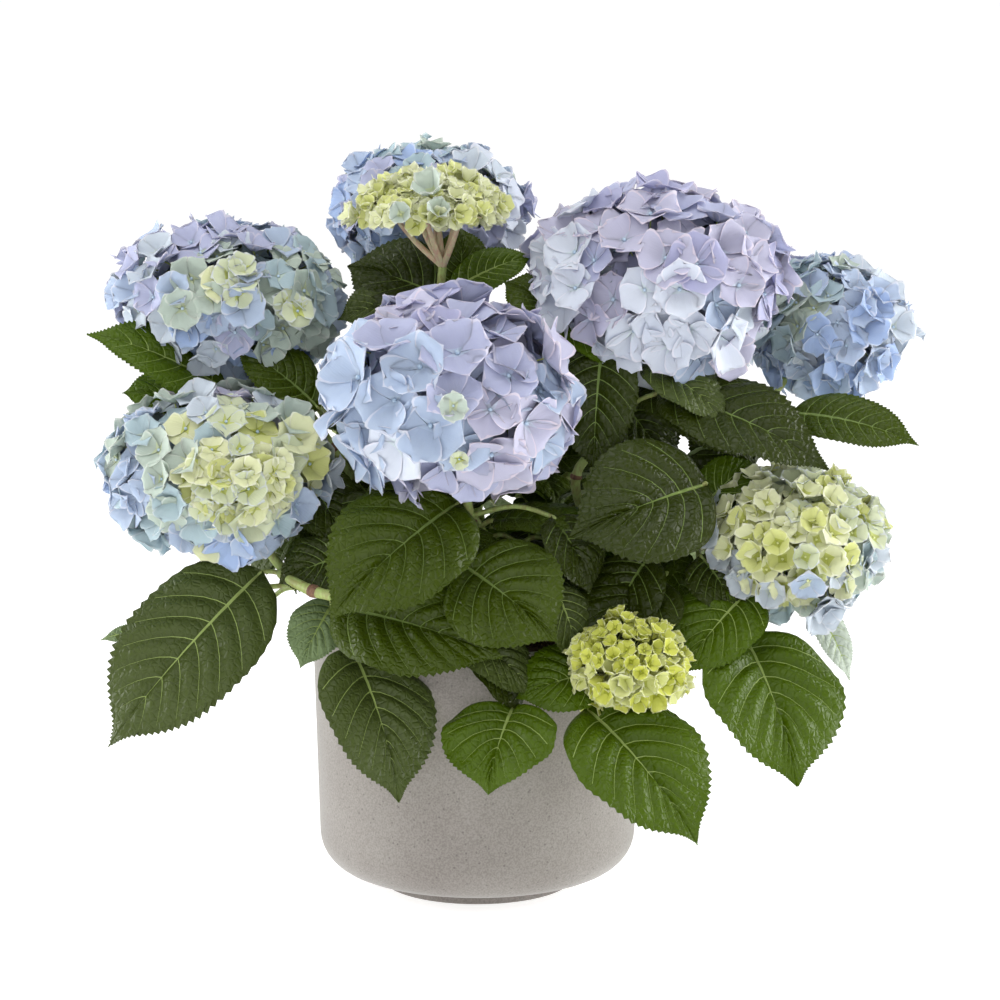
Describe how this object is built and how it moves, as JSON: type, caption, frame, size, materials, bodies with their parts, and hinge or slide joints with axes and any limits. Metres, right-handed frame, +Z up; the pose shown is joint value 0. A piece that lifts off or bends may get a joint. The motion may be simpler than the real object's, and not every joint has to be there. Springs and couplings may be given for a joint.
{
  "type": "potted hydrangea shrub",
  "caption": "Mophead hydrangea shrub in a round cast-stone pot: canes, green shoots, serrate leaves and domed blue, lilac and cream flower heads.",
  "frame": {"origin": "centre of the pot's flat underside, on the surface that it stands on", "axes": "+Z up along the pot's axis, -Y towards the front of the plant, +X to the right seen from the front"},
  "size_m": [0.5899, 0.4542, 0.5252],
  "materials": {
    "cast_stone": "matte",
    "compost": "matte",
    "cane_bark": "matte",
    "green_stem": "satin",
    "leaf_green": "satin",
    "petal_lilac": "matte",
    "petal_blue": "matte",
    "petal_cream": "matte",
    "petal_lime": "matte"
  },
  "bodies": {
    "root": {"cane_front": "cane_bark", "cane_left": "cane_bark", "cane_rear": "cane_bark", "cane_right": "cane_bark", "head_back_tall": "petal_blue", "head_left_lower": "petal_cream", "head_left_upper": "petal_blue", "head_lime_bud": "petal_lime", "head_middle": "petal_lilac", "head_rear_left": "petal_blue", "head_rear_middle": "petal_lilac", "head_rear_right": "petal_blue", "head_right_back": "petal_blue", "head_right_lower": "petal_cream", "head_right_upper": "petal_lilac", "head_young_cream": "petal_cream", "leaf_big_left": "leaf_green", "leaf_by_bud": "leaf_green", "leaf_dark_glossy": "leaf_green", "leaf_dark_low": "leaf_green", "leaf_far_left": "leaf_green", "leaf_far_right": "leaf_green", "leaf_front_low": "leaf_green", "leaf_front_right": "leaf_green", "leaf_left_rim": "leaf_green", "leaf_middle": "leaf_green", "leaf_middle_left": "leaf_green", "leaf_middle_low": "leaf_green", "leaf_over_rim": "leaf_green", "leaf_pale_hanging": "leaf_green", "leaf_rear_left": "leaf_green", "leaf_rear_low": "leaf_green", "leaf_rear_right": "leaf_green", "leaf_right_hanging": "leaf_green", "leaf_right_shelf": "leaf_green", "leaf_side_right": "leaf_green", "leaf_top_left": "leaf_green", "leaf_top_right": "leaf_green", "leaf_under_cream": "leaf_green", "leaf_under_left_head": "leaf_green", "leaf_under_right_head": "leaf_green", "leafage_front": "leaf_green", "leafage_left": "leaf_green", "leafage_rear": "leaf_green", "leafage_right": "leaf_green", "leafage_top": "leaf_green", "pot": "cast_stone", "root_ball": "compost", "shoot_back_tall": "green_stem", "shoot_left_lower": "green_stem", "shoot_left_upper": "green_stem", "shoot_lime_bud": "green_stem", "shoot_middle": "green_stem", "shoot_rear_left": "green_stem", "shoot_rear_middle": "green_stem", "shoot_rear_right": "green_stem", "shoot_right_back": "green_stem", "shoot_right_lower": "green_stem", "shoot_right_upper": "green_stem", "shoot_young_cream": "green_stem"}
  },
  "joints": []
}
